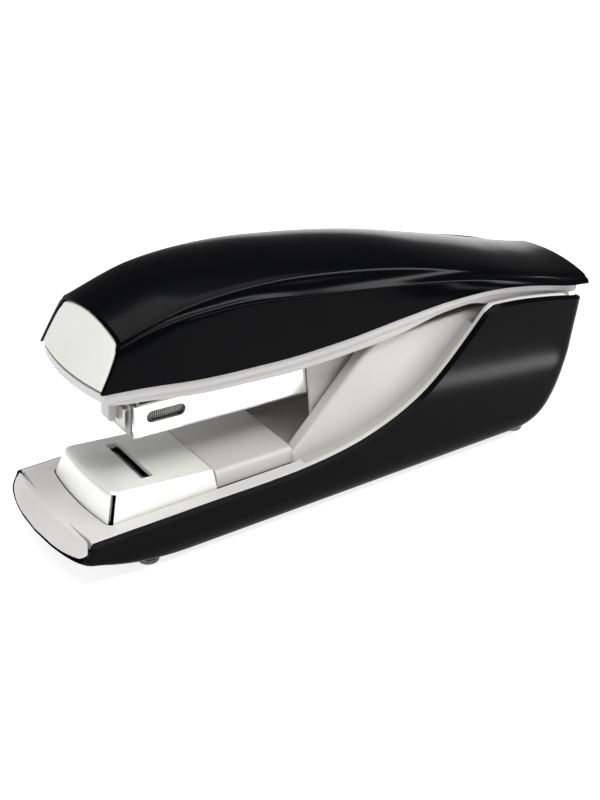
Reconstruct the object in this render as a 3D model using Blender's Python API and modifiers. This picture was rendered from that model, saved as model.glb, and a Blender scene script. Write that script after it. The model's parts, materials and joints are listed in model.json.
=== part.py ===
"""Desk stapler with a flat-clinch anvil: base, anvil, magazine and lid, with their hinges and springs.

The jaw opens towards -X, +Z is up, and y = 0 is the plane of symmetry. The origin is at the bottom
centre, level with the undersides of the feet. Lengths below are in millimetres, and MM turns them
into metres. Every moving body has an empty on its joint's axis, and its pieces are children of it.
"""

import math

import bmesh
import bpy
from mathutils import Matrix, Vector

MM = 0.001
GAP = 0.3  # left between neighbours that touch on the real object

# Joint axes: the main pin across the rear, the anvil's pin, the catch's pin and the clinch wings' ends.
PIVOT = (61.5, 30.0)
ANVIL_AXIS = (-15.0, 8.6)
CATCH_AXIS = (-51.4, 36.4)
WING_AXIS = (7.7, 14.2)
MAGAZINE_TILT = 3.1  # degrees that the magazine's nose points up at rest
PIN_R = 2.0
ANVIL_PIN_R = 1.2
RUNNING = 0.06  # radial play of a pin in its hole

# Outer hull of the base. Heights are z, and each list gives a size at that height.
FLOOR_Z = 1.6
HULL_HALF = ((1.6, 15.8), (2.4, 17.1), (3.6, 17.9), (5.5, 18.4), (8.0, 18.5), (41.0, 18.5))
HULL_TIP = (
    (1.6, -61.0), (2.4, -63.5), (3.6, -66.2), (5.5, -69.0), (7.0, -70.7), (8.2, -71.8),
    (12.4, -68.6), (41.0, -68.6),
)  # fmt: skip
HULL_BOW = (
    (1.6, 26.0), (2.4, 22.0), (3.6, 17.0), (5.5, 12.0), (7.0, 8.4), (8.2, 5.9), (12.4, 2.6), (41.0, 2.6),
)  # fmt: skip
HULL_SAG = ((1.6, 1.0), (3.6, 1.6), (7.0, 2.4), (8.2, 2.9), (12.4, 1.5), (41.0, 1.5))
HULL_POWER = ((1.6, 2.3), (5.5, 2.8), (7.0, 3.5), (8.2, 6.5), (41.0, 6.5))
HULL_REAR = (
    (1.6, 55.2), (3.6, 58.6), (6.2, 60.5), (9.2, 61.8), (12.8, 63.0),
    (17.8, 64.2), (25.7, 65.6), (33.5, 67.0), (41.0, 67.8),
)  # fmt: skip
HULL_CORNER = ((1.6, 9.0), (9.2, 5.5), (20.0, 3.4))
HULL_LEVELS = (1.6, 2.4, 3.6, 5.5, 7.0, 8.2, 10.5, 12.4, 17.8, 25.7, 33.5, 41.0)
WALL = 1.1
TRAY_Z = 12.4
REAR_NOTCH_Z = 24.2

# Top edge of the base's sides: low beside the tray, an S-curve up to a corner, then down to the rear.
RIM = (
    (-66.8, 12.5), (-40.0, 12.6), (-12.0, 12.9), (1.3, 14.7), (9.7, 17.2), (15.3, 19.6),
    (20.9, 22.9), (26.4, 27.5), (31.9, 33.0), (37.9, 39.3),
)  # fmt: skip
RIM_REAR = ((37.9, 39.3), (46.4, 38.5), (55.7, 36.9), (66.8, 34.4))
RIM_BOW = ((-80.0, 8.0), (-70.8, 8.2), (-69.0, 8.7), (-67.7, 10.0))

# Lid profiles along x: bottom edge, upper ridge at the shoulder, lower ridge, and their half widths.
LID_EDGE = (
    (-60.2, 44.5), (-51.0, 44.2), (-39.0, 42.9), (-27.0, 42.1), (-14.0, 41.5), (0.0, 41.8),
    (13.0, 42.7), (26.0, 43.3), (40.0, 42.6), (48.0, 41.2), (57.0, 38.9), (66.0, 36.0), (72.2, 34.3),
)  # fmt: skip
LID_SHOULDER = (
    (-54.4, 54.7), (-47.0, 57.0), (-40.0, 58.5), (-28.0, 59.3), (-16.0, 58.7), (-4.0, 57.0),
    (8.0, 54.8), (20.0, 52.0), (32.0, 48.5), (44.0, 44.8), (56.0, 40.9), (66.0, 37.8), (73.0, 36.0),
)  # fmt: skip
LID_CREASE = (
    (-55.4, 52.6), (-50.0, 54.8), (-44.0, 56.1), (-30.5, 56.5), (-8.3, 53.4), (11.8, 50.2),
    (33.5, 46.2), (45.0, 43.5), (57.0, 40.2), (66.0, 37.1), (73.0, 35.3),
)  # fmt: skip
LID_EDGE_HALF = (
    (-60.2, 14.5), (-51.0, 15.9), (-39.0, 16.8), (-27.0, 17.1), (40.0, 17.1), (50.0, 16.9),
    (60.0, 16.2), (72.2, 13.7),
)  # fmt: skip
LID_CREASE_HALF = ((-60.2, 13.7), (-46.0, 14.7), (-30.0, 15.2), (0.0, 15.5), (45.0, 15.5), (72.2, 13.2))
LID_SHOULDER_HALF = ((-60.2, 12.8), (-40.0, 13.1), (0.0, 12.6), (50.0, 12.4), (72.2, 11.9))
LID_STATIONS = (
    -60.2, -56.0, -50.0, -44.0, -38.0, -30.0, -20.0, -8.0, 4.0, 16.0, 28.0, 40.0, 52.0, 62.0, 72.2,
)  # fmt: skip
LID_CROWN = ((-60.0, 2.2), (-30.0, 1.9), (10.0, 2.1), (40.0, 1.5), (73.0, 1.0))
LID_WALL = 1.5
LID_LEAN = 0.598  # how far the front face leans back for each millimetre of height
LID_LEAN_Z = 44.5
LID_NOSE_BULGE = 1.8
LID_TAIL_BULGE = 1.0

# Lower edge of the pale frame under the lid.
FRAME_LOW = (
    (-63.0, 42.2), (-60.6, 41.9), (-57.5, 40.8), (-50.0, 40.0), (-38.0, 38.4), (-26.0, 37.5), (-13.0, 36.7),
    (0.0, 36.9), (13.5, 37.7), (25.0, 39.7), (33.0, 40.0), (40.0, 38.2), (52.0, 36.0), (66.0, 33.4),
)  # fmt: skip
FRAME_REAR = 67.0

# Magazine, measured from the pivot along its own length (u, towards the rear) and height (v).
NOSE_U = -111.2
TAIL_U = -9.0
MAG_HALF = 7.4
MAG_LOW = -9.1
MAG_TOP = -1.1
SHEET = 0.8
STAPLE_FRONT_U = -109.1
STAPLE_REAR_U = -57.0
STAPLE_HALF = 6.35
WINDOW_U = (-108.4, -98.9)
WINDOW_V = (-5.6, -2.8)
ROD_V = -4.9

BODY_AXES = {}


def curve(knots):
    """A smooth function through the (position, value) knots, flat past both ends."""
    xs = [k[0] for k in knots]
    ys = [k[1] for k in knots]
    steps = [(ys[i + 1] - ys[i]) / (xs[i + 1] - xs[i]) for i in range(len(xs) - 1)]
    slopes = [steps[0]] + [(a + b) / 2 if a * b > 0 else 0.0 for a, b in zip(steps, steps[1:])] + [steps[-1]]

    def value(x):
        if x <= xs[0]:
            return ys[0]
        if x >= xs[-1]:
            return ys[-1]
        i = max(j for j in range(len(xs) - 1) if xs[j] <= x)
        span = xs[i + 1] - xs[i]
        t = (x - xs[i]) / span
        rise = (2 * t**3 - 3 * t**2 + 1) * ys[i] + (3 * t**2 - 2 * t**3) * ys[i + 1]
        return rise + span * ((t**3 - 2 * t**2 + t) * slopes[i] + (t**3 - t**2) * slopes[i + 1])

    return value


hull_half, hull_tip, hull_bow, hull_rear = map(curve, (HULL_HALF, HULL_TIP, HULL_BOW, HULL_REAR))
hull_corner, hull_sag, hull_power = map(curve, (HULL_CORNER, HULL_SAG, HULL_POWER))
rim_side, rim_rear, frame_low = map(curve, (RIM, RIM_REAR, FRAME_LOW))
lid_edge, lid_shoulder, lid_crease, lid_crown = map(curve, (LID_EDGE, LID_SHOULDER, LID_CREASE, LID_CROWN))
edge_half, crease_half, shoulder_half = map(curve, (LID_EDGE_HALF, LID_CREASE_HALF, LID_SHOULDER_HALF))


def rim(x):
    return rim_side(x) if x < RIM[-1][0] else rim_rear(x)


def clear_scene():
    for obj in list(bpy.data.objects):
        bpy.data.objects.remove(obj, do_unlink=True)


def collection(name):
    made = bpy.data.collections.new(name)
    bpy.context.scene.collection.children.link(made)
    return made


def material(name, colour, roughness, metallic=0.0):
    made = bpy.data.materials.new(name)
    made.use_nodes = True
    shader = made.node_tree.nodes["Principled BSDF"]
    shader.inputs["Base Color"].default_value = (*colour, 1.0)
    shader.inputs["Roughness"].default_value = roughness
    shader.inputs["Metallic"].default_value = metallic
    return made


clear_scene()
PARTS = collection("stapler")
CUTTERS = collection("stapler_cutters")
BLACK = material("black_gloss_plastic", (0.006, 0.006, 0.007), 0.22)
PALE = material("pale_grey_plastic", (0.58, 0.58, 0.55), 0.42)
CHROME = material("polished_steel", (0.86, 0.85, 0.82), 0.16, 1.0)
STEEL = material("plain_steel", (0.55, 0.55, 0.54), 0.32, 1.0)
WIRE = material("staple_wire", (0.70, 0.70, 0.69), 0.25, 1.0)
RUBBER = material("dark_rubber", (0.05, 0.05, 0.05), 0.75)


def body_axis(name, x, y, z, turn_y=0.0):
    empty = bpy.data.objects.new(name, None)
    empty.location = (x * MM, y * MM, z * MM)
    empty.rotation_euler = (0.0, math.radians(turn_y), 0.0)
    PARTS.objects.link(empty)
    BODY_AXES[name] = empty
    return empty


def mesh_object(name, mesh, cutter=False):
    obj = bpy.data.objects.new(name, mesh)
    (CUTTERS if cutter else PARTS).objects.link(obj)
    if cutter:
        obj.hide_render = True
        obj.display_type = "WIRE"
    return obj


def dress(obj, mat, body="", local=False, smooth=True):
    """Gives a piece its material and its parent. A local piece is modelled in the parent's own axes."""
    obj.data.materials.append(mat)
    if smooth:
        obj.data.shade_smooth()
        obj.data.set_sharp_from_angle(angle=math.radians(35))
    if body:
        bpy.context.view_layer.update()
        parent = BODY_AXES[body]
        obj.parent = parent
        if not local:
            obj.matrix_parent_inverse = parent.matrix_world.inverted()
    return obj


def box(name, low, high, cutter=False):
    mesh = bpy.data.meshes.new(name)
    bm = bmesh.new()
    bmesh.ops.create_cube(bm, size=1.0)
    size = [(b - a) * MM for a, b in zip(low, high)]
    middle = [(a + b) / 2 * MM for a, b in zip(low, high)]
    bm.transform(Matrix.Translation(middle) @ Matrix.Diagonal((*size, 1.0)))
    bm.to_mesh(mesh)
    bm.free()
    return mesh_object(name, mesh, cutter)


def cylinder(name, radius, start, end, sides=24, cutter=False):
    """A round bar from start to end."""
    a, b = Vector(start) * MM, Vector(end) * MM
    mesh = bpy.data.meshes.new(name)
    bm = bmesh.new()
    bmesh.ops.create_cone(
        bm, cap_ends=True, segments=sides, radius1=radius * MM, radius2=radius * MM, depth=(b - a).length
    )
    turn = Vector((0.0, 0.0, 1.0)).rotation_difference(b - a).to_matrix().to_4x4()
    bm.transform(Matrix.Translation((a + b) / 2) @ turn)
    bm.to_mesh(mesh)
    bm.free()
    return mesh_object(name, mesh, cutter)


def crosswise(name, radius, axis, half, sides=24):
    """A round bar across the part on an (x, z) axis, reaching half to each side."""
    return cylinder(name, radius, (axis[0], -half, axis[1]), (axis[0], half, axis[1]), sides)


def loft(name, rings, cutter=False):
    """A closed skin over rings with equal numbers of points, capped at both ends."""
    mesh = bpy.data.meshes.new(name)
    bm = bmesh.new()
    loops = [[bm.verts.new(Vector(p) * MM) for p in ring] for ring in rings]
    count = len(loops[0])
    for a, b in zip(loops, loops[1:]):
        for i in range(count):
            j = (i + 1) % count
            bm.faces.new((a[i], a[j], b[j], b[i]))
    bm.faces.new(list(reversed(loops[0])))
    bm.faces.new(loops[-1])
    bmesh.ops.recalc_face_normals(bm, faces=bm.faces)
    bm.to_mesh(mesh)
    bm.free()
    return mesh_object(name, mesh, cutter)


def solid_from_curve(curve_object):
    """A curve made into a mesh object of the same name and place, its caps welded."""
    name = curve_object.name
    bpy.context.view_layer.update()
    graph = bpy.context.evaluated_depsgraph_get()
    mesh = bpy.data.meshes.new_from_object(curve_object.evaluated_get(graph))
    bm = bmesh.new()
    bm.from_mesh(mesh)
    bmesh.ops.remove_doubles(bm, verts=bm.verts, dist=0.00001)
    bm.to_mesh(mesh)
    bm.free()
    matrix = curve_object.matrix_world.copy()
    bpy.data.objects.remove(curve_object, do_unlink=True)
    obj = mesh_object(name, mesh)
    obj.matrix_world = matrix
    return obj


def side_plate(name, outline, y0, y1, cutter=False):
    """A flat outline in x and z, extruded from y0 to y1."""
    data = bpy.data.curves.new(name, "CURVE")
    data.dimensions = "2D"
    data.fill_mode = "BOTH"
    data.extrude = abs(y1 - y0) / 2 * MM
    spline = data.splines.new("POLY")
    spline.points.add(len(outline) - 1)
    for point, (x, z) in zip(spline.points, outline):
        point.co = (x * MM, z * MM, 0.0, 1.0)
    spline.use_cyclic_u = True
    obj = bpy.data.objects.new(name, data)
    obj.location = (0.0, (y0 + y1) / 2 * MM, 0.0)
    obj.rotation_euler = (math.radians(90), 0.0, 0.0)
    PARTS.objects.link(obj)
    made = solid_from_curve(obj)
    made.data.transform(made.matrix_world)
    made.matrix_world = Matrix.Identity(4)
    if cutter:
        hide_as_cutter(made)
    return made


def hide_as_cutter(obj):
    for owner in list(obj.users_collection):
        owner.objects.unlink(obj)
    CUTTERS.objects.link(obj)
    obj.hide_render = True
    obj.display_type = "WIRE"


def combine(obj, others, operation):
    """Joins or cuts obj with each of the others, and keeps the result as its mesh."""
    for other in others:
        modifier = obj.modifiers.new(operation.lower(), "BOOLEAN")
        modifier.operation = operation
        modifier.solver = "EXACT"
        modifier.object = other
        hide_as_cutter(other)
    bpy.context.view_layer.update()
    graph = bpy.context.evaluated_depsgraph_get()
    mesh = bpy.data.meshes.new_from_object(obj.evaluated_get(graph))
    obj.modifiers.clear()
    obj.data = mesh
    return obj


def join(obj, *others):
    return combine(obj, others, "UNION")


def cut(obj, *others):
    return combine(obj, others, "DIFFERENCE")


def bevel(obj, width, segments=2, angle=40):
    modifier = obj.modifiers.new("edges", "BEVEL")
    modifier.width = width * MM
    modifier.segments = segments
    modifier.limit_method = "ANGLE"
    modifier.angle_limit = math.radians(angle)
    modifier.use_clamp_overlap = True
    return obj


def coil(name, radius, wire, start, end, turns, steps=12):
    """A wire spring wound about the line from start to end."""
    a, b = Vector(start), Vector(end)
    along = b - a
    side = along.orthogonal().normalized()
    other = along.normalized().cross(side)
    data = bpy.data.curves.new(name, "CURVE")
    data.dimensions = "3D"
    data.bevel_depth = wire * MM
    data.bevel_resolution = 2
    data.use_fill_caps = True
    spline = data.splines.new("POLY")
    count = int(turns * steps)
    spline.points.add(count)
    for i in range(count + 1):
        angle = 2 * math.pi * turns * i / count
        place = a + along * (i / count) + (side * math.cos(angle) + other * math.sin(angle)) * radius
        spline.points[i].co = (*(place * MM), 1.0)
    obj = bpy.data.objects.new(name, data)
    PARTS.objects.link(obj)
    return solid_from_curve(obj)


def disc(centre, radius, start, end, steps):
    """Points on an arc in x and z, from one angle to another, in degrees."""
    points = []
    for i in range(steps + 1):
        angle = math.radians(start + (end - start) * i / steps)
        points.append((centre[0] + radius * math.cos(angle), centre[1] + radius * math.sin(angle)))
    return points


# Base


def hull_outline(z, inset, tip_inset=None):
    """Plan of the base at one height: a blunt bow, straight sides and a rounded stern."""
    half = hull_half(z) - inset
    tip = hull_tip(z) + (inset if tip_inset is None else tip_inset)
    bow_end = hull_tip(z) + hull_bow(z)
    sag, power = hull_sag(z), hull_power(z)
    corner_x = bow_end - tip - sag
    rear = hull_rear(z) - inset
    corner = hull_corner(z) - inset / 2
    points = []
    for i in range(-10, 11):
        share = abs(math.sin(math.radians(9 * i))) ** (2 / power)
        ahead = abs(math.cos(math.radians(9 * i))) ** (2 / power)
        x = bow_end - sag * (1 - share * share) - corner_x * ahead
        points.append((x, math.copysign(half * share, -i)))
    for side in (-1, 1):
        for i in range(5):
            angle = math.radians(90 * i / 4 if side < 0 else 90 - 90 * i / 4)
            x = rear - corner + corner * math.sin(angle)
            y = side * (half - corner + corner * math.cos(angle))
            points.append((x, y))
    return points


def hull_ring(z, inset, tip_inset=None):
    return [(x, y, z) for x, y in hull_outline(z, inset, tip_inset)]


def hull_solid(name, levels, inset, cutter=False):
    return loft(name, [hull_ring(z, inset) for z in levels], cutter)


def rim_outline(lift, front):
    """Side view of everything above the base's top edge, raised by lift."""
    points = [(x, z + lift) for x, z in RIM_BOW if x < front]
    x = front
    while x < RIM[-1][0]:
        points.append((x, rim_side(x) + lift))
        x += 4.0 if x < -12.0 else 2.5
    points += [(x, z + lift) for x, z in RIM_REAR]
    return points + [(80.0, RIM_REAR[-1][1] + lift), (80.0, 70.0), (points[0][0], 70.0)]


SCREW_PLACES = ((-7.0, 6.6), (-7.0, -6.6), (28.0, 6.6), (28.0, -6.6))


def base_shell():
    shell = hull_solid("base_shell", HULL_LEVELS, 0.0)
    levels = [FLOOR_Z + 1.5] + [z for z in HULL_LEVELS if z > FLOOR_Z + 1.5] + [46.0]
    hollow = hull_solid("base_hollow", levels, WALL, cutter=True)
    above = side_plate("above_rim", rim_outline(0.0, -66.8), -30.0, 30.0)
    notch = box("rear_notch", (52.0, -16.4, REAR_NOTCH_Z), (75.0, 16.4, 50.0))
    cut(shell, hollow, above, notch)
    holes = [cylinder("screw_hole", 2.6, (x, y, 0.0), (x, y, 4.0)) for x, y in SCREW_PLACES]
    cut(shell, *holes)
    return dress(shell, BLACK)


def side_ribbon(name, x0, x1, top, depth, y0, y1):
    """A strip that follows the rim between two places along it."""
    count = max(2, int((x1 - x0) / 2.5))
    xs = [x0 + (x1 - x0) * i / count for i in range(count + 1)]
    xs = sorted(set(xs + [RIM[-1][0]])) if x0 < RIM[-1][0] < x1 else xs
    upper = [(x, rim(x) + top) for x in xs]
    lower = [(x, rim(x) + top - depth) for x in reversed(xs)]
    return side_plate(name, upper + lower, y0, y1)


def cheek(name, y0, y1):
    """Solid side of the magazine's well: a slanted front edge, and a round end about the main pin."""
    outline = [(-13.9, 11.4), (-13.9, 14.6), (6.2, 34.8), (9.5, 36.6), (30.0, 37.2), (56.0, 36.2)]
    outline += disc(PIVOT, 6.0, 80, -15, 6) + [(62.0, 24.0), (60.6, 16.0), (58.6, 11.4)]
    return side_plate(name, outline, y0, y1)


def base_liner():
    """Pale inner moulding of the base: tray, front lip, side strips, shelves, and the magazine's cheeks."""
    liner = hull_solid("base_liner", (TRAY_Z - 1.8, TRAY_Z), WALL + GAP)
    lip = loft("front_lip", [hull_ring(z, 0.5, 0.1) for z in (7.6, 8.5, 10.5, TRAY_Z)])
    under = [(x, z + 0.35) for x, z in RIM_BOW] + [(-66.8, 12.8), (80.0, 12.8), (80.0, 0.0), (-80.0, 0.0)]
    cut(lip, side_plate("lip_underside", under, -30.0, 30.0))
    pieces = [lip]
    for side in (-1, 1):
        strip = sorted((side * 16.5, side * 17.1))
        shelf = sorted((side * 13.0, side * 16.7))
        wall = sorted((side * 9.6, side * 13.2))
        pieces.append(side_ribbon("strip", -63.5, 61.0, 0.05, 2.3, *strip))
        pieces.append(side_ribbon("shelf", -12.0, 33.5, -0.5, 1.7, *shelf))
        pieces.append(cheek("cheek", *wall))
        ear = sorted((side * 14.2, side * 16.4))
        pieces.append(box("anvil_ear", (-18.0, ear[0], 5.8), (-12.0, ear[1], TRAY_Z - 1.0)))
    for x, y in SCREW_PLACES:
        pieces.append(cylinder("screw_boss", 2.3, (x, y, 4.2), (x, y, TRAY_Z - 1.0)))
    join(liner, *pieces)
    opening = [slab_ring(z, z, -60.9, -12.4, 14.0, 13.9, 1.1, 0.9) for z in (0.0, 20.0)]
    cuts = [loft("anvil_opening", opening)]
    cuts.append(box("bracket_opening", (33.4, -8.2, 0.0), (75.0, 8.2, 14.0)))
    cuts.append(crosswise("pin_hole", PIN_R + RUNNING, PIVOT, 12.9))
    cuts.append(crosswise("anvil_pin_hole", ANVIL_PIN_R + RUNNING, ANVIL_AXIS, 15.8))
    for x, y in SCREW_PLACES:
        cuts.append(cylinder("boss_hole", 1.3, (x, y, 3.0), (x, y, 10.6)))
    cut(liner, *cuts)
    return dress(liner, PALE)


def feet():
    for name, x in (("front", -51.2), ("rear", 51.3)):
        for side, y in (("left", 12.8), ("right", -12.8)):
            foot = cylinder(f"foot_{name}_{side}", 2.5, (x, y, 0.0), (x, y, FLOOR_Z - GAP), 32)
            bevel(foot, 0.4)
            dress(foot, RUBBER)


def base_screws():
    for i, (x, y) in enumerate(SCREW_PLACES, 1):
        screw = cylinder(f"base_screw_{i}", 2.2, (x, y, 1.9), (x, y, 3.6))
        join(screw, cylinder("shank", 1.1, (x, y, 3.0), (x, y, 10.2), 16))
        cut(screw, box("slot_a", (x - 1.3, y - 0.3, 1.0), (x + 1.3, y + 0.3, 2.7)))
        dress(screw, STEEL)


def pivot_bracket():
    """Bent steel bracket on the base's floor that carries the main pin."""
    bracket = box("pivot_bracket", (34.0, -7.4, 3.4), (49.0, 7.4, 4.4))
    outline = [(38.0, 3.4), (48.6, 3.4), (55.2, 10.0), (57.8, 18.0)]
    outline += disc(PIVOT, 3.7, -35, 150, 10) + [(54.0, 19.0)]
    pieces = [side_plate("ear", outline, *sorted((side * 6.5, side * 7.4))) for side in (-1, 1)]
    join(bracket, *pieces)
    cut(bracket, crosswise("pin_hole", PIN_R + RUNNING, PIVOT, 10.0))
    return dress(bracket, STEEL)


def pivot_pin():
    return dress(crosswise("pivot_pin", PIN_R, PIVOT, 12.6), STEEL)


def clincher():
    """Steel block under the anvil's slot, with an ear at each end for a clinch wing."""
    block = box("clincher_block", (-51.4, -9.8, 3.4), (-45.1, 9.8, 13.4))
    ears = [box("ear", (-51.4, y, 13.0), (-45.1, y + 1.4, 14.7)) for y in (-9.8, 8.4)]
    join(block, *ears)
    dress(block, STEEL)
    for name, side in (("left", 1), ("right", -1)):
        axis = body_axis(f"clinch_wing_{name}_axis", -48.2, side * WING_AXIS[0], WING_AXIS[1])
        low, high = sorted((side * 0.35, side * 8.1))
        wing = box(f"clinch_wing_{name}", (-49.3, low, 13.75), (-47.2, high, 15.3))
        bevel(wing, 0.2)
        dress(wing, STEEL, axis.name)


def springs_and_anvil_pin():
    pin = crosswise("anvil_pin", ANVIL_PIN_R, ANVIL_AXIS, 15.5, 16)
    dress(pin, STEEL)
    dress(coil("anvil_spring", 2.6, 0.35, (-41.6, 0.0, 3.9), (-41.6, 0.0, 14.9), 5), STEEL)
    dress(coil("return_spring", 3.4, 0.45, (16.5, 0.0, 13.3), (16.5, 0.0, 20.9), 4), STEEL)


# Anvil


def slab_ring(z_front, z_rear, x0, x1, half0, half1, nose, chamfer):
    """A plan ring with a curved front edge and cut front corners, sloping from z_front to z_rear."""
    plan = [(x1, -half1), (x0 + chamfer, -half0)]
    plan += [(x0 - nose * (1 - (i / 4) ** 2), (half0 - chamfer) * i / 4) for i in range(-4, 5)]
    plan += [(x0 + chamfer, half0), (x1, half1)]
    return [(x, y, z_front + (z_rear - z_front) * (x - x0) / (x1 - x0)) for x, y in plan]


def anvil():
    body_axis("anvil_axis", ANVIL_AXIS[0], 0.0, ANVIL_AXIS[1])
    plate = loft(
        "anvil_plate",
        [
            slab_ring(12.2, 11.7, -60.3, -33.6, 13.4, 13.2, 1.0, 0.9),
            slab_ring(13.2, 12.6, -60.1, -33.6, 13.2, 13.0, 1.0, 0.9),
            slab_ring(17.9, 15.4, -58.6, -33.6, 12.0, 11.9, 0.8, 0.9),
            slab_ring(18.7, 16.1, -57.9, -33.6, 11.5, 11.4, 0.7, 0.7),
        ],
    )
    hollow = loft(
        "plate_hollow",
        [
            slab_ring(11.0, 10.0, -59.3, -30.0, 12.3, 12.1, 1.0, 0.8),
            slab_ring(13.0, 12.2, -59.0, -30.0, 12.1, 11.9, 1.0, 0.8),
            slab_ring(17.7, 14.8, -57.4, -30.0, 10.9, 10.8, 0.7, 0.6),
        ],
    )
    cut(plate, hollow, box("slot", (-49.6, -8.3, 10.0), (-46.6, 8.3, 25.0)))
    dress(plate, CHROME, "anvil_axis")
    bridge = loft(
        "anvil_bridge",
        [
            [(-33.3, y, z) for y, z in bridge_ring(15.95)],
            [(-13.3, y, z) for y, z in bridge_ring(15.6)],
        ],
    )
    cut(bridge, box("bridge_hollow", (-31.8, -11.4, 5.0), (-17.4, 11.4, 14.2)))
    barrel = crosswise("barrel", 2.3, ANVIL_AXIS, 11.2)
    web = box("web", (-16.6, -11.2, ANVIL_AXIS[1]), (-14.0, 11.2, 13.0))
    tongue = box("tongue", (-38.2, -9.0, 12.9), (-31.0, 9.0, 14.3))
    join(bridge, barrel, web, tongue)
    cut(
        bridge,
        crosswise("hole", ANVIL_PIN_R + RUNNING, ANVIL_AXIS, 20.0),
    )
    dress(bridge, PALE, "anvil_axis")


def bridge_ring(top):
    half = 12.6
    ring = [(-half, 11.9), (-half + 0.3, top - 1.0), (-half + 1.2, top)]
    return ring + [(-y, z) for y, z in reversed(ring)]


# Magazine, modelled in its own axes: x is u and z is v


def magazine():
    body_axis("magazine_axis", PIVOT[0], 0.0, PIVOT[1], MAGAZINE_TILT)
    channel = box("magazine_channel", (NOSE_U, -MAG_HALF, MAG_LOW), (TAIL_U, MAG_HALF, MAG_TOP))
    inner = MAG_HALF - SHEET
    window = side_plate("window", slot_outline(WINDOW_U, WINDOW_V), -20.0, 20.0)
    cut(
        channel,
        box("hollow", (NOSE_U - 5, -inner, MAG_LOW + SHEET), (TAIL_U + 5, inner, MAG_TOP + 5)),
        box("staple_exit", (NOSE_U - 5, -inner, MAG_LOW - 5), (STAPLE_FRONT_U + 0.3, inner, MAG_LOW + 2)),
        window,
    )
    dress(channel, CHROME, "magazine_axis", local=True)
    rail = box("staple_rail", (STAPLE_FRONT_U, -5.7, -8.0), (TAIL_U - 0.5, 5.7, -2.7))
    cut(rail, box("rail_hollow", (STAPLE_FRONT_U + 1.0, -5.0, -7.3), (TAIL_U - 1.5, 5.0, 0.0)))
    dress(rail, STEEL, "magazine_axis", local=True)
    strip = box("staple_strip", (STAPLE_FRONT_U, -STAPLE_HALF, -7.9), (STAPLE_REAR_U, STAPLE_HALF, -1.9))
    cut(strip, box("strip_hollow", (-120.0, -5.95, -9.0), (0.0, 5.95, -2.4)))
    dress(strip, WIRE, "magazine_axis", local=True)
    pusher()
    rod = cylinder("pusher_rod", 0.8, (STAPLE_FRONT_U + 1.3, 0, ROD_V), (TAIL_U - 1.8, 0, ROD_V), 16)
    dress(rod, STEEL, "magazine_axis", local=True)
    spring = coil("pusher_spring", 1.8, 0.3, (-43.2, 0, ROD_V), (TAIL_U - 2.3, 0, ROD_V), 13)
    dress(spring, STEEL, "magazine_axis", local=True)
    nose()
    carrier()


def slot_outline(along, across):
    """A slot with round ends."""
    radius = (across[1] - across[0]) / 2
    middle = (across[0] + across[1]) / 2
    rear = disc((along[1] - radius, middle), radius, -90, 90, 8)
    return rear + disc((along[0] + radius, middle), radius, 90, 270, 8)


def pusher():
    bpy.context.view_layer.update()
    axis = body_axis("pusher_axis", 0.0, 0.0, 0.0)
    axis.parent = BODY_AXES["magazine_axis"]
    front, rear = STAPLE_REAR_U + GAP, -44.0
    block = box("staple_pusher", (front, -6.3, -7.9), (rear, 6.3, -1.5))
    cut(block, box("pusher_hollow", (-80.0, -5.95, -9.0), (0.0, 5.95, -2.4)))
    join(block, box("tongue", (front + 1.0, -3.4, -6.9), (rear, 3.4, -2.0)))
    cut(block, cylinder("rod_hole", 0.9, (-80.0, 0, ROD_V), (0.0, 0, ROD_V), 16))
    dress(block, STEEL, "pusher_axis", local=True)


def nose():
    plate = box("nose_plate", (NOSE_U + 0.1, -6.3, -8.9), (NOSE_U + 0.6, 6.3, -1.3))
    tab = box("tab", (NOSE_U - 1.5, -1.5, -8.0), (NOSE_U - 0.9, 1.5, -5.0))
    root = box("tab_root", (NOSE_U - 1.2, -1.5, -5.6), (NOSE_U + 0.3, 1.5, -5.0))
    join(plate, tab, root)
    dress(plate, STEEL, "magazine_axis", local=True)


def carrier():
    """Pale plastic cradle that holds the channel's rear and carries it on the main pin."""
    outline = [(-68.6, 2.2), (-66.6, -14.2), (-61.0, -11.2), (-52.0, -10.6), (-14.0, -10.6), (-8.0, -7.0)]
    outline += disc((0.0, 0.0), 5.2, -75, 110, 10) + [(-6.0, 5.2), (-30.0, 3.0)]
    left = side_plate("magazine_carrier", outline, 7.7, 8.8)
    right = side_plate("right", outline, -8.8, -7.7)
    floor = box("floor", (-64.0, -8.2, -10.6), (-14.0, 8.2, -9.4))
    arc = disc((0.0, 0.0), 5.7, -35, 48, 8) + disc((0.0, 0.0), 4.6, 48, -35, 8)
    tail = side_plate("tail", arc, -8.3, 8.3)
    join(left, right, floor, tail)
    cut(left, cylinder("hole", PIN_R + RUNNING, (0, -20, 0), (0, 20, 0)))
    dress(left, PALE, "magazine_axis", local=True)


def catch():
    """Sprung plastic catch on the magazine's nose, with a small hook that hangs in front of it."""
    body_axis("catch_axis", CATCH_AXIS[0], 0.0, CATCH_AXIS[1])
    x, z = CATCH_AXIS
    outline = disc(CATCH_AXIS, 1.5, 60, -60, 4)
    outline += [(x + 0.4, 31.4), (x - 0.4, 30.6), (x - 0.2, 29.9), (x - 1.2, 29.6), (x - 1.9, 30.4)]
    outline += [(x - 1.7, 33.0)]
    outline += [(x - 1.6, z), (x - 1.2, z + 1.0)]
    hook = side_plate("front_catch", outline, -1.7, 1.7)
    cut(hook, cylinder("hole", 0.7 + RUNNING, (x, -5, z), (x, 5, z), 16))
    dress(hook, PALE, "catch_axis")
    dress(cylinder("catch_pin", 0.7, (x, -3.2, z), (x, 3.2, z), 16), STEEL, "magazine_axis")


# Lid


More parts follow.
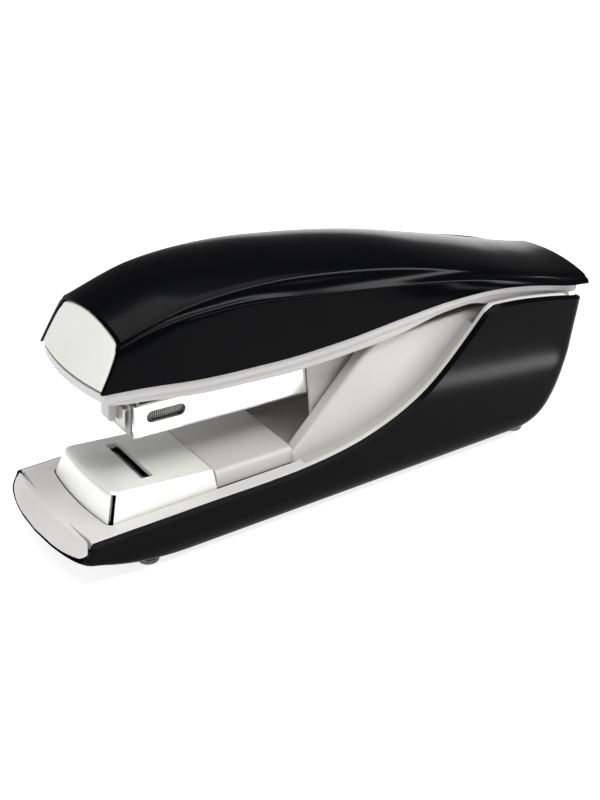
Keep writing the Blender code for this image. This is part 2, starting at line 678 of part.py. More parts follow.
def lid_section(t, inset, below=0.0):
    """One cross-section of the lid. The front leans back, and the front and rear faces bulge."""
    front = min(1.0, max(0.0, (-40.0 - t) / 20.2))
    rear = min(1.0, max(0.0, (t - 52.0) / 20.2))
    ridge_x = t + front * LID_LEAN * 9.7
    z0 = lid_edge(t) - below
    z1, z2 = lid_crease(ridge_x), lid_shoulder(ridge_x)
    half0, half1, half2 = edge_half(t), crease_half(t), shoulder_half(t)
    flank = [
        (half0, z0),
        (half0 * 0.52 + half1 * 0.48 + 0.25, z0 * 0.55 + z1 * 0.45),
        (half1, z1),
        ((half1 + half2) / 2 - 0.15, (z1 + z2) / 2 - 0.35),
        (half2, z2),
    ]
    points = [(y - inset, z - (inset if i else 0.0)) for i, (y, z) in enumerate(flank)]
    top = points[-1]
    crown = [(top[0] * k, top[1] + lid_crown(t) * (1 - k * k)) for k in (0.72, 0.42, 0.0)]
    half = points + crown
    full = [(-y, z) for y, z in half[:-1]] + list(reversed(half))
    ring = []
    for y, z in full:
        lean = front * LID_LEAN * max(0.0, z - LID_LEAN_Z)
        bulge = rear * LID_TAIL_BULGE * (1 - (y / 14.5) ** 2) - front * LID_NOSE_BULGE * (1 - (y / 14.5) ** 2)
        ring.append((t + lean + bulge, y, z))
    return ring


def lid_shell():
    shell = loft("lid_shell", [lid_section(t, 0.0) for t in LID_STATIONS])
    stations = (-66.0,) + LID_STATIONS[:-1] + (70.4,)
    hollow = loft("lid_hollow", [lid_section(t, 0.6 if t < -55 else LID_WALL, 4.0) for t in stations])
    cut(shell, hollow)
    return dress(shell, BLACK, "handle_axis")


def lid_end_cap():
    rings = [lid_section(t, 1.4, -0.5) for t in (-60.1, -57.9)]
    return dress(loft("lid_end_cap", rings), PALE, "handle_axis")


def frame_plan(inset):
    """Plan points of the lid's lower edge, from the rear right corner round the front to the rear left."""
    xs = [FRAME_REAR, 60.0, 52.0, 40.0, 28.0, 16.0, 4.0, -8.0, -20.0, -30.0, -38.0, -44.0, -50.0, -56.0]
    right = [(x, -max(edge_half(x) - inset, 13.5 if x > 0 else 0.0)) for x in xs]
    half = edge_half(-60.2) - inset
    front = [(-60.0 + inset - 0.6 - LID_NOSE_BULGE * (1 - (k / 3) ** 2), half * k / 3) for k in range(-3, 4)]
    return right + front + [(x, -y) for x, y in reversed(right)]


def lid_frame():
    """Pale frame round the lid's open underside, a closed wall on three sides."""
    outer, inner = frame_plan(0.8), frame_plan(2.8)
    rings = []
    for (x0, y0), (x1, y1) in zip(outer, inner):
        top = lid_edge(x0) - GAP
        low = frame_low(x0)
        rings.append([(x0, y0, low), (x0, y0, top), (x1, y1, top), (x1, y1, low + 0.2)])
    frame = loft("lid_frame", rings)
    return dress(frame, PALE, "handle_axis")


def driver():
    """Steel arm from the main pin to the nose inside the lid, and the blade on its end."""
    front_u, front_v, rear_u, rear_v = -108.9, 6.4, -12.0, 0.5
    floor = [(front_u, front_v), (rear_u, rear_v), (rear_u, rear_v + 1.0), (front_u, front_v + 1.0)]
    arm = side_plate("driver_arm", floor, -6.2, 6.2)
    flange = [(front_u, front_v), (rear_u, rear_v), (-4.6, -2.0)] + disc((0.0, 0.0), 3.9, -130, 100, 12)
    flange += [(-8.0, 5.4), (rear_u, rear_v + 4.6), (front_u, front_v + 3.6)]
    for side in (-1, 1):
        arm = join(arm, side_plate("flange", flange, *sorted((side * 5.2, side * 6.2))))
    end = box("end", (front_u, -6.2, front_v), (front_u + 1.0, 6.2, front_v + 3.6))
    join(arm, end)
    cut(arm, cylinder("hole", PIN_R + RUNNING, (0, -20, 0), (0, 20, 0)))
    to_world = Matrix.Rotation(math.radians(MAGAZINE_TILT), 4, "Y")
    to_world = Matrix.Translation(Vector((PIVOT[0], 0.0, PIVOT[1])) * MM) @ to_world
    blade = box("driver_blade", (-110.2, -6.3, -1.4), (-109.6, 6.3, front_v + 3.2))
    for obj in (arm, blade):
        obj.data.transform(to_world)
    dress(arm, STEEL, "handle_axis")
    dress(blade, STEEL, "handle_axis")


def handle_spring():
    """Torsion spring on the main pin, between the driver arm's ears."""
    x, z = PIVOT
    dress(coil("handle_spring", 3.0, 0.45, (x, -4.3, z), (x, 4.3, z), 7), STEEL, "magazine_axis")


def lid():
    body_axis("handle_axis", PIVOT[0], 0.0, PIVOT[1])
    lid_shell()
    lid_end_cap()
    lid_frame()
    driver()


base_shell()
base_liner()
feet()
base_screws()
pivot_bracket()
pivot_pin()
clincher()
springs_and_anvil_pin()
anvil()
magazine()
catch()
lid()
handle_spring()
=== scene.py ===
"""Looks of the desk stapler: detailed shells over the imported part, procedural materials and a plain studio.

Lengths in the tables below are millimetres in the part's frame: the jaw opens towards -X, Z is up, and
y = 0 is the plane of symmetry. MM turns them into metres.
"""

import json
import math

import bmesh
import bpy
from mathutils import Matrix, Quaternion, Vector


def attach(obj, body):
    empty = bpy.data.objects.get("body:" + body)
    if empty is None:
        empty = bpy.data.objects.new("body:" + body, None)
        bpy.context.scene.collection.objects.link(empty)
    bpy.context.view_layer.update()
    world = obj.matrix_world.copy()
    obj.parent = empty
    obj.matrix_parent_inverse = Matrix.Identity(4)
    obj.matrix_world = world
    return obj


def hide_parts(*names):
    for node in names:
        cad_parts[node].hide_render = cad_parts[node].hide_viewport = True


MM = 0.001

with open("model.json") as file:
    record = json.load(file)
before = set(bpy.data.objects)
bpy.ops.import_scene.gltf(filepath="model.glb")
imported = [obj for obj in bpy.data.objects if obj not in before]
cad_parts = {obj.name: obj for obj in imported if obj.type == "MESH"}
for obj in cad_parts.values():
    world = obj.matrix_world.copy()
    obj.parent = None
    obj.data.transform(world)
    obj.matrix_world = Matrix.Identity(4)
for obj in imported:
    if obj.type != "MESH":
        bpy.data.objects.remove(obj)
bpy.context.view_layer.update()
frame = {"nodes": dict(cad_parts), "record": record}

# Axes and outlines shared with the part.
PIVOT = (61.5, 30.0)
MAGAZINE_TILT = 3.1

# Base, against height: half width, foremost point, length of the bow, how far its front sags, how square its
# corners are, rearmost point and radius of the stern's corners.
HULL_HALF = ((1.6, 15.8), (2.4, 17.1), (3.6, 17.9), (5.5, 18.4), (8.0, 18.5), (41.0, 18.5))
HULL_TIP = (
    (1.6, -61.0), (2.4, -63.5), (3.6, -66.2), (5.5, -69.0), (7.0, -70.7), (8.2, -71.8),
    (12.4, -68.6), (41.0, -68.6),
)  # fmt: skip
HULL_BOW = (
    (1.6, 26.0), (2.4, 22.0), (3.6, 17.0), (5.5, 12.0), (7.0, 8.4), (8.2, 5.9), (12.4, 2.6), (41.0, 2.6),
)  # fmt: skip
HULL_SAG = ((1.6, 1.0), (3.6, 1.6), (7.0, 2.4), (8.2, 2.9), (12.4, 1.5), (41.0, 1.5))
HULL_POWER = ((1.6, 2.3), (5.5, 2.8), (7.0, 3.5), (8.2, 6.5), (41.0, 6.5))
HULL_REAR = (
    (1.6, 55.2), (3.6, 58.6), (6.2, 60.5), (9.2, 61.8), (12.8, 63.0),
    (17.8, 64.2), (25.7, 65.6), (33.5, 67.0), (41.0, 67.8),
)  # fmt: skip
HULL_CORNER = ((1.6, 9.0), (9.2, 5.5), (20.0, 3.4))
WALL = 1.1
FLOOR_LOW, FLOOR_TOP = 1.6, 3.1
TRAY_Z = 12.4
LINER_GAP = 0.3
SHARP = 38.0  # edges steeper than this stay sharp in the shading

# Upper edge of the base along x: the sides, behind them, and the bow.
RIM = (
    (-66.8, 12.5), (-40.0, 12.6), (-12.0, 12.9), (1.3, 14.7), (9.7, 17.2), (15.3, 19.6),
    (20.9, 22.9), (26.4, 27.5), (31.9, 33.0), (37.9, 39.3),
)  # fmt: skip
RIM_REAR = ((37.9, 39.3), (46.4, 38.5), (55.7, 36.9), (66.8, 34.4))
RIM_BOW = ((-80.0, 8.0), (-70.8, 8.2), (-69.0, 8.7), (-67.7, 10.0), (-66.8, 12.5))

# Lid along x: heights of its lower edge, shoulder and crease, their half widths, the crown's rise above the
# shoulder, and how far the crease is rounded.
LID_EDGE = (
    (-60.2, 44.5), (-51.0, 44.2), (-39.0, 42.9), (-27.0, 42.1), (-14.0, 41.5), (0.0, 41.8),
    (13.0, 42.7), (26.0, 43.3), (40.0, 42.6), (48.0, 41.2), (57.0, 38.9), (66.0, 36.0), (72.2, 34.3),
)  # fmt: skip
LID_SHOULDER = (
    (-54.4, 54.7), (-47.0, 57.0), (-40.0, 58.5), (-28.0, 59.3), (-16.0, 58.7), (-4.0, 57.0),
    (8.0, 54.8), (20.0, 52.0), (32.0, 48.5), (44.0, 44.8), (56.0, 40.9), (66.0, 37.8), (73.0, 36.0),
)  # fmt: skip
LID_CREASE = (
    (-55.4, 52.6), (-50.0, 54.8), (-44.0, 56.1), (-30.5, 56.5), (-8.3, 53.4), (11.8, 50.2),
    (33.5, 46.2), (45.0, 43.5), (57.0, 40.2), (66.0, 37.1), (73.0, 35.3),
)  # fmt: skip
LID_EDGE_HALF = (
    (-60.2, 14.5), (-51.0, 15.9), (-39.0, 16.8), (-27.0, 17.1), (40.0, 17.1), (50.0, 16.9),
    (60.0, 16.2), (72.2, 13.7),
)  # fmt: skip
LID_CREASE_HALF = ((-60.2, 13.7), (-46.0, 14.7), (-30.0, 15.2), (0.0, 15.5), (45.0, 15.5), (72.2, 13.2))
LID_SHOULDER_HALF = ((-60.2, 12.8), (-40.0, 13.1), (0.0, 12.6), (50.0, 12.4), (72.2, 11.9))
LID_CROWN = ((-60.0, 2.2), (-30.0, 1.9), (10.0, 2.1), (40.0, 1.5), (73.0, 1.0))
LID_CREASE_ROUND = ((-60.0, 3.0), (-46.0, 2.6), (-28.0, 1.0), (72.0, 0.9))
LID_FRONT, LID_REAR = -60.2, 71.6
LID_LEAN, LID_LEAN_Z = 0.598, 44.5  # the front face leans back by this slope, above this height
LID_FACE_HEIGHT = 9.7
LID_LEAN_START, LID_TAIL_START, LID_END_LENGTH = -40.0, 52.0, 20.2  # where both ends take their shape
LID_NOSE_BULGE, LID_TAIL_BULGE, LID_BULGE_HALF = 1.8, 1.0, 14.5
LID_TURN = 0.6  # radius between the lid's top and its tail wall
LID_WALL = ((-60.2, 0.75), (-57.0, 0.8), (-52.0, 1.5))
CAP_GAP, CAP_LOW, CAP_MIDDLE = 1.05, 0.35, 49.4
CAP_FACE = (  # scale of the outline and depth behind the opening's plane, from the rear edge to the centre
    (1.0, 2.6), (1.0, 0.55), (0.994, 0.30), (0.98, 0.14), (0.955, 0.06), (0.9, 0.0), (0.75, -0.05),
    (0.5, -0.1), (0.25, -0.12),
)  # fmt: skip

# Pale frame under the lid: height of its lower edge along x, and the height of its upper band.
FRAME_LOW = (
    (-63.0, 42.2), (-60.6, 41.9), (-57.5, 40.8), (-50.0, 40.0), (-38.0, 38.4), (-26.0, 37.5), (-13.0, 36.7),
    (0.0, 36.9), (13.5, 37.7), (25.0, 39.7), (33.0, 40.0), (40.0, 38.2), (52.0, 36.0), (66.0, 33.4),
)  # fmt: skip
FRAME_BAND = ((-70.0, 1.95), (16.0, 1.95), (34.0, 1.3), (80.0, 1.25))
FRAME_REAR, FRAME_REAR_HALF = 68.0, 13.5

# Base liner: edge strips and shelves as x from, x to, y from, y to, top below the rim; cheeks as (x, z).
STRIP = (-66.3, 61.5, 15.9, 17.35, 0.02)
STRIP_BEND = 0.3
SHELF_STRIP = (-12.0, 34.0, 12.9, 16.1, -0.45)
SHELF_BEND = 0.1
STRIP_DEPTH = 2.2
LIP_LEVELS = (  # height, and how far the lip is drawn in there towards its crease with the tray
    (7.6, 0.0), (8.6, 0.0), (9.6, 0.0), (10.5, 0.0), (11.4, 0.0), (11.9, 0.03), (12.15, 0.09), (12.33, 0.2),
    (TRAY_Z, 0.36),
)  # fmt: skip
CHEEK = ((-13.9, 11.4), (-13.9, 14.4), (6.2, 34.8), (9.5, 36.6), (30.0, 37.2), (56.0, 36.2))
CHEEK_BENDS = (0.0, 0.6, 2.5, 3.0, 8.0, 4.0)
CHEEK_REAR = ((62.0, 24.0), (60.6, 16.0), (58.6, 11.4))
CHEEK_Y = (9.6, 13.2)
PIN_HOLE_R = 2.06

# Feet: radius and height of the profile, from the top down and in to the centre of the sole.
FOOT_PLACES = (("front", -51.2), ("rear", 51.3))
FOOT_SIDES = (("left", 12.8), ("right", -12.8))
FOOT_PROFILE = ((2.1, 1.3), (2.5, 1.2), (2.5, 0.0), (0.0, 0.0))
FOOT_SOLE = ((1.4, 0.0), (0.5, 0.0))

# Anvil slab, level by level: height at the front and rear, front x, half width at the front and rear, how far
# the front bows out, and the corners' chamfer.
ANVIL_LEVELS = (
    (12.2, 11.7, -60.3, 13.4, 13.2, 1.0, 0.9),
    (13.2, 12.6, -60.1, 13.25, 13.05, 1.0, 0.9),
    (17.9, 15.4, -58.5, 12.0, 11.9, 0.8, 0.9),
    (18.7, 16.1, -57.9, 11.4, 11.3, 0.7, 0.7),
    (18.72, 16.12, -56.6, 10.4, 10.3, 0.7, 0.7),
)
ANVIL_BENDS = (0.0, 0.5, 0.5, 0.45, 0.0)
ANVIL_HOLLOW = ((11.0, 10.0, -59.3, 12.3, 12.2, 0.8, 0.7), (17.7, 14.8, -57.4, 10.9, 10.8, 0.8, 0.7))
ANVIL_REAR, ANVIL_HOLLOW_REAR = -33.6, -30.0
SLOT_WALLS = ((-50.3, -8.9, 16.45), (-45.9, 8.9, 17.2))
SLOT = ((-49.6, -8.3, 10.0), (-46.6, 8.3, 25.0))
GAP_ENDS = ((-59.85, 12.95, 11.0), (-58.05, 11.6, 18.2))
GAP_SECTION = ((-0.50, -1.7), (0.50, -1.7), (0.64, 1.0), (-0.64, 1.0))  # across the corner, and out of it
BRIDGE_ENDS = ((-33.3, 15.95), (-13.3, 15.6))
BRIDGE_HALF_LOW, BRIDGE_HALF_TOP, BRIDGE_LOW = 12.7, 12.3, 11.9
BRIDGE_HOLLOW = ((-31.8, -11.4, 5.0), (-14.8, 11.4, 14.2))

# Clinch wings: extent in x, y and z, and the ribs across them.
WING_X = (-49.3, -47.2)
WING_Y = (0.35, 8.1)
WING_LOW, WING_EDGE, WING_TOP, RIB_LOW = 13.75, 15.1, 15.3, 15.08
RIBS = 18

# Magazine, along it (u), across (y) and up (v).
NOSE_U, TAIL_U = -111.2, -9.0
CHANNEL_HALF, CHANNEL_TOP, CHANNEL_LOW, CHANNEL_SHEET = 7.4, -1.1, -9.1, 0.8
WINDOW_U, WINDOW_V, WINDOW_R = (-100.3, -107.0), -4.2, 1.4
NOTCH = ((-94.6, -1.7), (-93.6, -1.7), (-93.6, 1.0), (-94.6, 1.0))
STAPLE_EXIT = ((-130.0, -6.6, -14.0), (-108.8, 6.6, -7.1))
STAPLES, STAPLE_PITCH, STAPLE_U = 100, 0.52, -109.1
STAPLE_HALF, STAPLE_TOP, STAPLE_LOW, STAPLE_THICK = 6.35, -1.95, -7.9, 0.45
STAPLE_ROUND = ((0.02, 0.12), (0.13, 0.0), (0.38, 0.0), (0.49, 0.12))  # along the wire's width, and drawn in
NOSE_PLATE = ((-111.45, -5.6, -8.9), (-110.85, 5.6, -1.3))
NOSE_TAB = (
    (-111.2, -2.2), (-112.6, -2.2), (-112.6, -7.2), (-112.1, -7.2), (-112.1, -2.9), (-111.2, -2.9),
)  # fmt: skip
NOSE_TAB_BENDS = (0.0, 0.9, 0.2, 0.2, 0.5, 0.0)
NOSE_TAB_Y = (-4.9, -1.3)

# Front catch: its axis, then the hook from the axis down and back up, relative to the axis.
CATCH_AXIS = (-51.4, 36.4)
CATCH_R, CATCH_HOLE_R, CATCH_HALF = 1.5, 0.76, 1.7
CATCH_HOOK = (
    (0.4, -5.0), (-0.4, -5.8), (-0.2, -6.5), (-1.2, -6.8), (-1.9, -6.0), (-1.7, -3.4),
    (-1.6, 0.0), (-1.2, 1.0),
)  # fmt: skip
CATCH_BENDS = (0.5, 0.3, 0.3, 0.4, 0.5, 1.0, 0.5, 0.5)

# Studio and camera, in metres, watts and degrees.
MIDDLE = (0.0, 0.0, 0.03)
SOFTBOXES = (  # name, place, target, size, power, roll
    ("key_top", (0.05, -0.05, 0.9), (0.0, 0.0, 0.0), (1.0, 1.0), 8.6, 0.0),
    ("ridge_strip", (0.44, -0.41, 0.66), MIDDLE, (0.95, 0.15), 6.8, -31.0),
    ("crease_strip", (0.42, -0.66, 0.27), MIDDLE, (0.46, 0.08), 0.7, 0.0),
    ("left_front", (-0.75, -0.15, 0.30), MIDDLE, (0.5, 0.5), 3.4, 0.0),
)
LOW_STRIP_AT, LOW_STRIP_AIM = (0.056, -0.0417, 0.0058), (0.0, 0.70, 0.71)
LOW_STRIP_SIZE, LOW_STRIP_POWER, LOW_STRIP_ROLL = (0.050, 0.003), 0.008, -6.5
SKY = ((0.0, 0.17), (0.20, 0.11), (0.34, 0.09), (0.66, 0.12), (0.86, 0.80), (1.0, 0.90))  # height, grey
FLOOR_SIZE, FLOOR_GLOW = 4.0, 0.82
CAMERA_TARGET, CAMERA_DISTANCE = (-0.00316, 0.0, 0.01873), 0.3724
CAMERA_AZIMUTH, CAMERA_ELEVATION, CAMERA_LENS = -33.4, 29.8, 72.1


# Shape helpers


def curve(knots):
    """A smooth function through the (position, value) knots, flat past both ends."""
    xs = [k[0] for k in knots]
    ys = [k[1] for k in knots]
    steps = [(ys[i + 1] - ys[i]) / (xs[i + 1] - xs[i]) for i in range(len(xs) - 1)]
    slopes = [steps[0]] + [(a + b) / 2 if a * b > 0 else 0.0 for a, b in zip(steps, steps[1:])] + [steps[-1]]

    def value(x):
        if x <= xs[0]:
            return ys[0]
        if x >= xs[-1]:
            return ys[-1]
        i = max(j for j in range(len(xs) - 1) if xs[j] <= x)
        span = xs[i + 1] - xs[i]
        t = (x - xs[i]) / span
        rise = (2 * t**3 - 3 * t**2 + 1) * ys[i] + (3 * t**2 - 2 * t**3) * ys[i + 1]
        return rise + span * ((t**3 - 2 * t**2 + t) * slopes[i] + (t**3 - t**2) * slopes[i + 1])

    return value


hull_half, hull_tip, hull_bow, hull_rear = map(curve, (HULL_HALF, HULL_TIP, HULL_BOW, HULL_REAR))
hull_corner, hull_sag, hull_power = map(curve, (HULL_CORNER, HULL_SAG, HULL_POWER))
rim_bow, rim_side, rim_rear, frame_low = map(curve, (RIM_BOW, RIM, RIM_REAR, FRAME_LOW))
lid_edge, lid_shoulder, lid_crease, lid_crown = map(curve, (LID_EDGE, LID_SHOULDER, LID_CREASE, LID_CROWN))
edge_half, crease_half, shoulder_half = map(curve, (LID_EDGE_HALF, LID_CREASE_HALF, LID_SHOULDER_HALF))
crease_round = curve(LID_CREASE_ROUND)


def rim(x):
    """Height of the base's upper edge."""
    if x < RIM[0][0]:
        return rim_bow(x)
    return rim_side(x) if x < RIM[-1][0] else rim_rear(x)


def spread(a, b, count):
    return [a + (b - a) * i / (count - 1) for i in range(count)]


def rounded(points, radii, steps=6, closed=False):
    """A polyline of tuples with each corner replaced by a smooth bend that starts radii[i] before it."""
    count = len(points)
    out = []
    for i, point in enumerate(points):
        here = Vector(point)
        if not closed and i in (0, count - 1) or radii[i] <= 0:
            out.append(tuple(here))
            continue
        back, ahead = Vector(points[i - 1]) - here, Vector(points[(i + 1) % count]) - here
        a = here + back * min(0.48, radii[i] / back.length)
        b = here + ahead * min(0.48, radii[i] / ahead.length)
        for k in range(steps + 1):
            t = k / steps
            out.append(tuple(a * (1 - t) ** 2 + here * 2 * t * (1 - t) + b * t**2))
    return out


def finish_mesh(name, bm, sharp=SHARP):
    bmesh.ops.recalc_face_normals(bm, faces=bm.faces)
    mesh = bpy.data.meshes.new(name)
    bm.to_mesh(mesh)
    bm.free()
    mesh.shade_smooth()
    mesh.set_sharp_from_angle(angle=math.radians(sharp))
    obj = bpy.data.objects.new(name, mesh)
    bpy.context.scene.collection.objects.link(obj)
    return obj


def loft(name, rings, sharp=SHARP):
    """A closed skin over rings of (x, y, z), each with the same number of points."""
    bm = bmesh.new()
    loops = [[bm.verts.new(Vector(p) * MM) for p in ring] for ring in rings]
    count = len(loops[0])
    for a, b in zip(loops, loops[1:]):
        for i in range(count):
            j = (i + 1) % count
            bm.faces.new((a[i], a[j], b[j], b[i]))
    bm.faces.new(list(reversed(loops[0])))
    bm.faces.new(loops[-1])
    return finish_mesh(name, bm, sharp)


def thick_sheet(name, outer, inner):
    """A closed wall between two open grids with the same number of rows and columns."""
    bm = bmesh.new()
    grids = [[[bm.verts.new(Vector(p) * MM) for p in row] for row in grid] for grid in (outer, inner)]
    rows, columns = len(outer), len(outer[0])
    for grid in grids:
        for r in range(rows - 1):
            for c in range(columns - 1):
                bm.faces.new((grid[r][c], grid[r][c + 1], grid[r + 1][c + 1], grid[r + 1][c]))
    a, b = grids
    for r in range(rows - 1):
        bm.faces.new((a[r][0], a[r + 1][0], b[r + 1][0], b[r][0]))
        bm.faces.new((a[r][-1], a[r + 1][-1], b[r + 1][-1], b[r][-1]))
    for c in range(columns - 1):
        bm.faces.new((a[0][c], a[0][c + 1], b[0][c + 1], b[0][c]))
        bm.faces.new((a[-1][c], a[-1][c + 1], b[-1][c + 1], b[-1][c]))
    return finish_mesh(name, bm)


def plate(name, outline, y0, y1):
    """A flat outline of (x, z), thick from y0 to y1."""
    return loft(name, [[(x, y, z) for x, z in outline] for y in (y0, y1)])


def block(name, low, high):
    """A cuboid between two opposite corners."""
    (x0, y0, z0), (x1, y1, z1) = low, high
    return loft(name, [[(x0, y0, z), (x1, y0, z), (x1, y1, z), (x0, y1, z)] for z in (z0, z1)])


def rod(name, radius, start, end, sides=32):
    """A round bar between two points."""
    a, b = Vector(start), Vector(end)
    side = (b - a).orthogonal().normalized()
    other = (b - a).normalized().cross(side)
    ring = [side * math.cos(t) + other * math.sin(t) for t in spread(0.0, math.tau, sides + 1)[:-1]]
    return loft(name, [[tuple(end + v * radius) for v in ring] for end in (a, b)])


def combine(obj, others, operation):
    """Joins or cuts obj with the others, applies the result and removes the others."""
    for other in others:
        modifier = obj.modifiers.new("boolean", "BOOLEAN")
        modifier.operation = operation
        modifier.object = other
    bpy.context.view_layer.update()
    graph = bpy.context.evaluated_depsgraph_get()
    mesh = bpy.data.meshes.new_from_object(obj.evaluated_get(graph))
    obj.modifiers.clear()
    obj.data = mesh
    for other in others:
        bpy.data.objects.remove(other, do_unlink=True)


def cut(obj, *others):
    combine(obj, others, "DIFFERENCE")


def join(obj, *others):
    combine(obj, others, "UNION")


def soften(obj, width, segments=3, angle=35.0, weld=False):
    """Rounded edges, with normals weighted so that flat faces stay flat."""
    if weld:
        modifier = obj.modifiers.new("weld", "WELD")
        modifier.merge_threshold = 0.01 * MM
    modifier = obj.modifiers.new("edges", "BEVEL")
    modifier.width = width * MM
    modifier.segments = segments
    modifier.limit_method = "ANGLE"
    modifier.angle_limit = math.radians(angle)
    modifier.harden_normals = True
    return obj


def arc(centre, radius, start, end, steps):
    """Points along a circle, between two angles in degrees."""
    angles = [math.radians(a) for a in spread(start, end, steps + 1)]
    return [(centre[0] + radius * math.cos(a), centre[1] + radius * math.sin(a)) for a in angles]


# Materials

EVEN = (1.0, 1.0, 1.0)
NOISE_LOW, NOISE_HIGH = 0.3, 0.7  # the part of a noise's range that is used


class Shade:
    """A Principled material with procedural variation. Coordinates follow the piece."""

    def __init__(self, name, rough, metallic=0.0, specular=0.5):
        self.mat = bpy.data.materials.new(name)
        self.mat.use_nodes = True
        self.tree = self.mat.node_tree
        self.shader = self.tree.nodes["Principled BSDF"]
        self.shader.inputs["Roughness"].default_value = rough
        self.shader.inputs["Metallic"].default_value = metallic
        self.shader.inputs["Specular IOR Level"].default_value = specular
        self.coords = self.tree.nodes.new("ShaderNodeTexCoord")

    def noise(self, scale, detail=3.0, stretch=EVEN):
        mapping = self.tree.nodes.new("ShaderNodeMapping")
        mapping.inputs["Scale"].default_value = stretch
        self.tree.links.new(self.coords.outputs["Object"], mapping.inputs["Vector"])
        node = self.tree.nodes.new("ShaderNodeTexNoise")
        node.inputs["Scale"].default_value = scale
        node.inputs["Detail"].default_value = detail
        self.tree.links.new(mapping.outputs["Vector"], node.inputs["Vector"])
        return node.outputs["Fac"]

    def colour(self, source, low, high):
        ramp = self.tree.nodes.new("ShaderNodeValToRGB")
        ramp.color_ramp.elements[0].color = (*low, 1.0)
        ramp.color_ramp.elements[0].position = NOISE_LOW
        ramp.color_ramp.elements[1].color = (*high, 1.0)
        ramp.color_ramp.elements[1].position = NOISE_HIGH
        self.tree.links.new(source, ramp.inputs["Fac"])
        self.tree.links.new(ramp.outputs["Color"], self.shader.inputs["Base Color"])

    def roughness(self, source, low, high):
        node = self.tree.nodes.new("ShaderNodeMapRange")
        node.inputs["From Min"].default_value = NOISE_LOW
        node.inputs["From Max"].default_value = NOISE_HIGH
        node.inputs["To Min"].default_value = low
        node.inputs["To Max"].default_value = high
        self.tree.links.new(source, node.inputs["Value"])
        self.tree.links.new(node.outputs["Result"], self.shader.inputs["Roughness"])

    def bump(self, source, depth):
        """Depth in millimetres."""
        node = self.tree.nodes.new("ShaderNodeBump")
        node.inputs["Strength"].default_value = 1.0
        node.inputs["Distance"].default_value = depth * MM
        self.tree.links.new(source, node.inputs["Height"])
        self.tree.links.new(node.outputs["Normal"], self.shader.inputs["Normal"])


def black_plastic():
    made = Shade("black_gloss_moulded", 0.15, specular=0.05)
    made.colour(made.noise(60.0), (0.0009, 0.0010, 0.0014), (0.0013, 0.0014, 0.0018))
    made.roughness(made.noise(700.0, 4.0), 0.14, 0.17)
    made.bump(made.noise(1200.0, 2.0), 0.0006)
    return made.mat


def pale_plastic(name, low, high, rough=(0.36, 0.44)):
    made = Shade(name, rough[0], specular=0.42)
    made.colour(made.noise(90.0, 4.0), low, high)
    made.roughness(made.noise(1500.0, 4.0), *rough)
    made.bump(made.noise(4200.0, 2.0), 0.006)
    return made.mat


def steel(name, low, high, rough, stretch=EVEN, scale=900.0, depth=0.001, metallic=1.0):
    """Stretch below 1 along an axis draws the grain out along it."""
    made = Shade(name, rough[0], metallic)
    made.colour(made.noise(120.0, 3.0), low, high)
    made.roughness(made.noise(scale, 4.0, stretch), *rough)
    made.bump(made.noise(scale * 1.6, 2.0, stretch), depth)
    return made.mat


def rubber():
    made = Shade("dark_rubber_moulded", 0.75, specular=0.3)
    made.colour(made.noise(700.0, 4.0), (0.10, 0.094, 0.094), (0.15, 0.14, 0.14))
    made.roughness(made.noise(2500.0), 0.66, 0.82)
    made.bump(made.noise(3800.0), 0.03)
    return made.mat


BLACK = black_plastic()
PALE = pale_plastic("pale_grey_moulded", (0.445, 0.440, 0.425), (0.465, 0.460, 0.445))
# Painted shade: the shelves get the same pale plastic as the liner, made darker.
SHELF = pale_plastic("pale_grey_shelf_painted_shade", (0.31, 0.305, 0.29), (0.33, 0.325, 0.31))
CAP = pale_plastic("pale_cap_moulded", (0.53, 0.53, 0.505), (0.56, 0.56, 0.535), (0.34, 0.42))
CHROME = steel("polished_steel_sheet", (0.90, 0.90, 0.86), (0.94, 0.94, 0.90), (0.20, 0.27), (0.12, 1.0, 1.0))
ANVIL = steel(
    "polished_steel_anvil", (0.80, 0.80, 0.77), (0.84, 0.84, 0.81), (0.30, 0.38),
    (1.0, 0.15, 1.0), metallic=0.4,
)  # fmt: skip
WING = steel("clinch_steel", (0.34, 0.32, 0.33), (0.40, 0.38, 0.39), (0.40, 0.50), metallic=0.0)
NOSE = steel("nose_steel_stamped", (0.31, 0.30, 0.29), (0.35, 0.34, 0.33), (0.36, 0.46), metallic=0.3)
STEEL = steel(
    "plain_steel_stamped", (0.48, 0.48, 0.48), (0.58, 0.58, 0.57), (0.28, 0.38), scale=600.0, depth=0.004
)
# Painted shade: the staple wire is made much darker than bright steel, for the shade inside the magazine's
# window.
WIRE = steel("staple_wire_painted_shade", (0.15, 0.15, 0.15), (0.20, 0.20, 0.20), (0.24, 0.34), scale=1200.0)
RUBBER = rubber()
SLOTS = {
    "black_gloss_plastic": BLACK,
    "pale_grey_plastic": PALE,
    "polished_steel": CHROME,
    "plain_steel": STEEL,
    "staple_wire": WIRE,
    "dark_rubber": RUBBER,
}


def add(obj, mat, slot, body, *nodes):
    """Gives a new piece its material and its body, and hides the nodes it stands for. The slot argument is
    not used.
    """
    obj.data.materials.clear()
    obj.data.materials.append(mat)
    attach(obj, body)
    if nodes:
        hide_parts(*nodes)


# Lid


